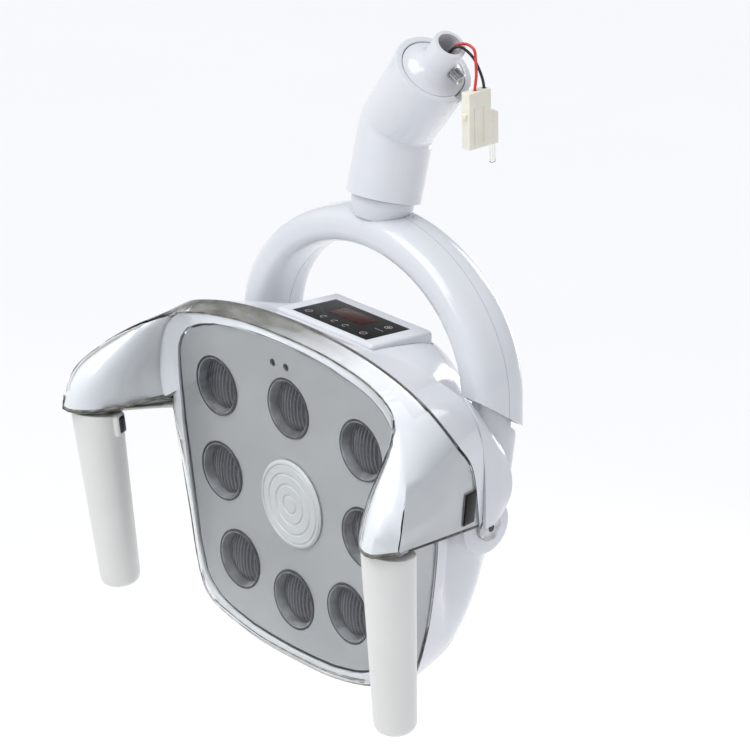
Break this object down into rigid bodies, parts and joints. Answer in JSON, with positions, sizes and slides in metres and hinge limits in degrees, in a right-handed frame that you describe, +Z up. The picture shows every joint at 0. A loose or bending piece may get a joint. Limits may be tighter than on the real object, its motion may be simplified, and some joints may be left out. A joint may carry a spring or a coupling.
{
  "type": "dental operating light",
  "caption": "Dental operating light: winged lamp head with round lenses, touch console and two pull-off handles, in an arched yoke under a swivelling elbow and arm spigot.",
  "frame": {"origin": "centre of the arm spigot's open end, where the light hangs from the unit's arm", "axes": "+Z up; -Y is the way the lamp face looks; +X to the right of the lamp face, looking from behind it; the spigot leans towards +X"},
  "size_m": [0.324, 0.1805, 0.4026],
  "materials": {
    "white_gloss": "moulded ABS, glossy cool white",
    "clear_cover": "clear polycarbonate, polished",
    "face_silver": "satin silver-grey paint",
    "badge_grey": "light grey, fine satin, engraved rings",
    "reflector": "mirror-plated plastic, dark in the bowl",
    "lens": "clear acrylic",
    "panel_glass": "near-black glossy window",
    "display": "unlit dark red-brown display",
    "circuit_board": "green circuit board",
    "alloy": "cast aluminium",
    "handle_satin": "satin warm white, autoclavable",
    "dark_plastic": "black satin",
    "steel": "bright turned steel",
    "acetal": "grey acetal",
    "lead_red": "red PVC insulation",
    "lead_black": "black PVC insulation",
    "nylon": "natural cream nylon"
  },
  "bodies": {
    "head": {"front_cover": "clear_cover", "bezel": "white_gloss", "face_plate": "face_silver", "reflector_1": "reflector", "reflector_2": "reflector", "reflector_3": "reflector", "reflector_4": "reflector", "reflector_5": "reflector", "reflector_6": "reflector", "reflector_7": "reflector", "reflector_8": "reflector", "lens_1": "lens", "lens_2": "lens", "lens_3": "lens", "lens_4": "lens", "lens_5": "lens", "lens_6": "lens", "lens_7": "lens", "lens_8": "lens", "badge": "badge_grey", "rear_housing": "white_gloss", "ear_cover_left": "white_gloss", "ear_cover_right": "white_gloss", "sensor_window_left": "panel_glass", "sensor_window_right": "panel_glass", "console_frame": "white_gloss", "control_panel": "panel_glass", "display": "display", "driver_board": "circuit_board", "led_board": "circuit_board", "heat_sink": "alloy", "handle_socket_left": "alloy", "handle_socket_right": "alloy", "handle_left": "handle_satin", "handle_right": "handle_satin", "button_spring_left": "steel", "button_spring_right": "steel", "pivot_bush_left": "acetal", "pivot_bush_right": "acetal"},
    "button_left": {"release_button_left": "dark_plastic"},
    "button_right": {"release_button_right": "dark_plastic"},
    "yoke": {"yoke_front": "white_gloss", "yoke_rear": "white_gloss", "neck_collar": "white_gloss", "neck_shaft": "steel", "arm_end_left": "white_gloss", "arm_end_right": "white_gloss", "pivot_pin_left": "steel", "pivot_pin_right": "steel"},
    "elbow_piece": {"elbow": "white_gloss", "spigot_bearing": "acetal", "neck_bearing": "acetal"},
    "arm_spigot": {"spigot": "white_gloss", "retaining_ring": "steel", "set_screw": "steel", "lead_red": "lead_red", "lead_black": "lead_black", "connector": "nylon", "connector_latch": "nylon"}
  },
  "joints": [
    {"name": "elbow_turn", "type": "hinge", "parent": "arm_spigot", "child": "elbow_piece", "pos_m": [-0.0151, 0, -0.01865], "axis": [0.6293, 0, 0.7771], "range_deg": [-120, 120]},
    {"name": "neck_turn", "type": "hinge", "parent": "elbow_piece", "child": "yoke", "pos_m": [-0.04947, -0.01242, -0.10496], "axis": [0, 0.2723, 0.9622], "range_deg": [-150, 150]},
    {"name": "head_tilt", "type": "hinge", "parent": "yoke", "child": "head", "pos_m": [-0.04947, -0.02892, -0.28596], "axis": [1, 0, 0], "range_deg": [0, 60]},
    {"name": "button_press_left", "type": "slide", "parent": "head", "child": "button_left", "axis": [-0.928, -0.3662, -0.068], "range_m": [0, 0.002], "stiffness_N_per_m": 400, "springref_m": -0.001, "deforming": ["button_spring_left"]},
    {"name": "button_press_right", "type": "slide", "parent": "head", "child": "button_right", "axis": [0.928, -0.3662, -0.068], "range_m": [0, 0.002], "stiffness_N_per_m": 400, "springref_m": -0.001, "deforming": ["button_spring_right"]}
  ]
}
